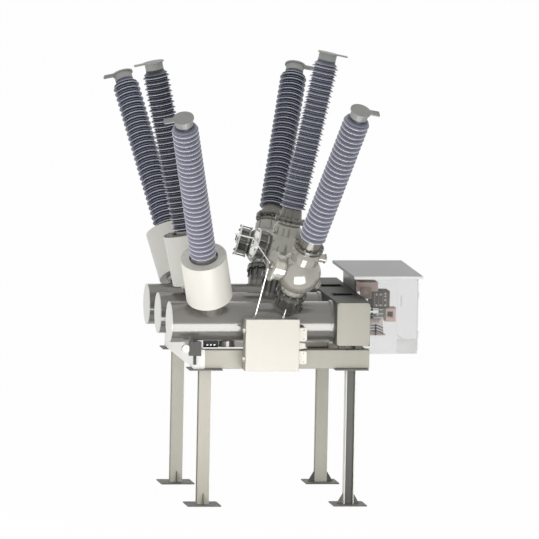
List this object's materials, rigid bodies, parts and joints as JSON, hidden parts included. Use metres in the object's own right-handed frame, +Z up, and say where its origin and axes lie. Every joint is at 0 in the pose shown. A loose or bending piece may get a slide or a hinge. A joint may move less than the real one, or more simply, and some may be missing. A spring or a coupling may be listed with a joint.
{
  "type": "gas-insulated switchgear",
  "caption": "Hybrid gas-insulated switchgear bay: dead-tank breaker poles with leaning outdoor bushings, disconnectors, drive cabinets and a steel support frame.",
  "frame": {"origin": "centre of the four feet, on the foundation", "axes": "+X along the tanks towards the mechanism cabinet, +Y from the front pole to the rear pole, +Z up"},
  "size_m": [3.5686, 5.3442, 5.5793],
  "materials": {
    "steelwork": "matt beige-grey paint",
    "beams": "matt beige-grey paint",
    "bolts": "zinc-plated",
    "tank": "satin grey paint",
    "end_cover": "satin light grey paint",
    "ct_housing": "satin off-white paint",
    "ct_core": "black varnished winding",
    "casting": "cast, grey",
    "insulator": "matt blue-grey silicone rubber",
    "terminal": "machined",
    "drive": "dark grey paint",
    "shaft": "ground",
    "rod": "zinc-plated",
    "contact": "copper alloy, bright",
    "conductor": "drawn",
    "resin": "cast resin",
    "dark_housing": "dark grey paint",
    "housing_cover": "satin beige paint",
    "cabinet_wall": "clear panels",
    "roof": "satin light grey paint",
    "mechanism": "brown-grey primer",
    "gearbox": "dark grey casting",
    "spring": "oiled spring steel",
    "motor": "pinkish primer",
    "box": "grey paint",
    "box_door": "satin cream paint",
    "monitor": "dark grey paint"
  },
  "bodies": {
    "frame": {"leg_front_left": "steelwork", "leg_front_right": "steelwork", "leg_rear_left": "steelwork", "leg_rear_right": "steelwork", "beam_front": "beams", "beam_rear": "beams", "cross_beam_left": "beams", "cross_beam_right": "beams", "bolts": "bolts", "tank_front": "tank", "tank_middle": "tank", "tank_rear": "tank", "end_covers": "end_cover", "ct_housing_front": "ct_housing", "ct_housing_middle": "ct_housing", "ct_housing_rear": "ct_housing", "ct_cores": "ct_core", "bushing_bases": "casting", "insulator_left_front": "insulator", "insulator_left_middle": "insulator", "insulator_left_rear": "insulator", "insulator_right_front": "insulator", "insulator_right_middle": "insulator", "insulator_right_rear": "insulator", "terminals_left": "terminal", "terminals_right": "terminal", "switch_housing_front": "casting", "switch_housing_middle": "casting", "switch_housing_rear": "casting", "switch_drive_front": "casting", "switch_drive_middle": "drive", "switch_drive_rear": "drive", "conductors": "conductor", "fixed_contacts": "contact", "interrupter_posts": "resin", "coupling_housing": "dark_housing", "coupling_covers": "housing_cover", "cabinet_shell": "cabinet_wall", "cabinet_roof": "roof", "mechanism_frame": "mechanism", "mechanism_gearbox": "gearbox", "mechanism_springs": "spring", "charging_motor": "motor", "control_box": "box", "gas_monitor": "monitor"},
    "breaker_shaft": {"breaker_shaft": "shaft"},
    "mechanism_rod": {"mechanism_rod": "shaft"},
    "interphase_link": {"interphase_link": "rod"},
    "operating_rod": {"operating_rod": "rod"},
    "cabinet_door": {"cabinet_door": "cabinet_wall"},
    "control_box_door": {"control_box_door": "box_door"},
    "moving_contact_front": {"moving_contact_front": "contact"},
    "switch_shaft_front": {"switch_shaft_front": "shaft"},
    "switch_contact_front": {"switch_contact_front": "contact"},
    "moving_contact_middle": {"moving_contact_middle": "contact"},
    "switch_shaft_middle": {"switch_shaft_middle": "shaft"},
    "switch_contact_middle": {"switch_contact_middle": "contact"},
    "moving_contact_rear": {"moving_contact_rear": "contact"},
    "switch_shaft_rear": {"switch_shaft_rear": "shaft"},
    "switch_contact_rear": {"switch_contact_rear": "contact"}
  },
  "joints": [
    {"name": "breaker_swing", "type": "hinge", "parent": "frame", "child": "breaker_shaft", "pos_m": [0.912, 0, 2.13805], "axis": [0, 1, 0], "range_deg": [0, 60]},
    {"name": "contact_stroke_front", "type": "slide", "parent": "frame", "child": "moving_contact_front", "axis": [1, 0, 0], "range_m": [0, 0.15]},
    {"name": "contact_stroke_middle", "type": "slide", "parent": "frame", "child": "moving_contact_middle", "axis": [1, 0, 0], "range_m": [0, 0.15]},
    {"name": "contact_stroke_rear", "type": "slide", "parent": "frame", "child": "moving_contact_rear", "axis": [1, 0, 0], "range_m": [0, 0.15]},
    {"name": "mechanism_stroke", "type": "slide", "parent": "frame", "child": "mechanism_rod", "axis": [1, 0, 0], "range_m": [0, 0.15]},
    {"name": "switch_swing_front", "type": "hinge", "parent": "frame", "child": "switch_shaft_front", "pos_m": [0.21342, -1.30441, 2.94382], "axis": [-0.9563, -0.1462, 0.2532], "range_deg": [0, 60]},
    {"name": "switch_swing_middle", "type": "hinge", "parent": "frame", "child": "switch_shaft_middle", "pos_m": [0.21342, 0, 3.04682], "axis": [-0.9563, 0, 0.2924], "range_deg": [0, 60]},
    {"name": "switch_swing_rear", "type": "hinge", "parent": "frame", "child": "switch_shaft_rear", "pos_m": [0.21342, 1.30441, 2.94382], "axis": [-0.9563, 0.1462, 0.2532], "range_deg": [0, 60]},
    {"name": "switch_stroke_front", "type": "slide", "parent": "frame", "child": "switch_contact_front", "axis": [-0.2079, 0.4891, -0.8471], "range_m": [0, 0.11]},
    {"name": "switch_stroke_middle", "type": "slide", "parent": "frame", "child": "switch_contact_middle", "axis": [-0.2079, 0, -0.9781], "range_m": [0, 0.11]},
    {"name": "switch_stroke_rear", "type": "slide", "parent": "frame", "child": "switch_contact_rear", "axis": [-0.2079, -0.4891, -0.8471], "range_m": [0, 0.11]},
    {"name": "link_stroke", "type": "slide", "parent": "frame", "child": "interphase_link", "axis": [0, 1, 0], "range_m": [0, 0.06]},
    {"name": "rod_stroke", "type": "slide", "parent": "frame", "child": "operating_rod", "axis": [0.2023, -0.2016, 0.9584], "range_m": [0, 0.057]},
    {"name": "cabinet_door_hinge", "type": "hinge", "parent": "frame", "child": "cabinet_door", "pos_m": [1.8165, -0.769, 2.3425], "axis": [0, 0, -1], "range_deg": [0, 110]},
    {"name": "box_door_hinge", "type": "hinge", "parent": "frame", "child": "control_box_door", "pos_m": [-0.477, -1.382, 2.0375], "axis": [0, 0, -1], "range_deg": [0, 110]}
  ],
  "couplings": [
    {"joint": "contact_stroke_front", "follows": "breaker_swing", "m_per_rad": 0.14324},
    {"joint": "contact_stroke_middle", "follows": "breaker_swing", "m_per_rad": 0.14324},
    {"joint": "contact_stroke_rear", "follows": "breaker_swing", "m_per_rad": 0.14324},
    {"joint": "mechanism_stroke", "follows": "breaker_swing", "m_per_rad": 0.14324},
    {"joint": "switch_swing_middle", "follows": "switch_swing_front", "ratio": 1},
    {"joint": "switch_swing_rear", "follows": "switch_swing_front", "ratio": 1},
    {"joint": "switch_stroke_front", "follows": "switch_swing_front", "m_per_rad": 0.10504},
    {"joint": "switch_stroke_middle", "follows": "switch_swing_front", "m_per_rad": 0.10504},
    {"joint": "switch_stroke_rear", "follows": "switch_swing_front", "m_per_rad": 0.10504},
    {"joint": "link_stroke", "follows": "switch_swing_front", "m_per_rad": 0.057296},
    {"joint": "rod_stroke", "follows": "switch_swing_front", "m_per_rad": 0.054431}
  ]
}
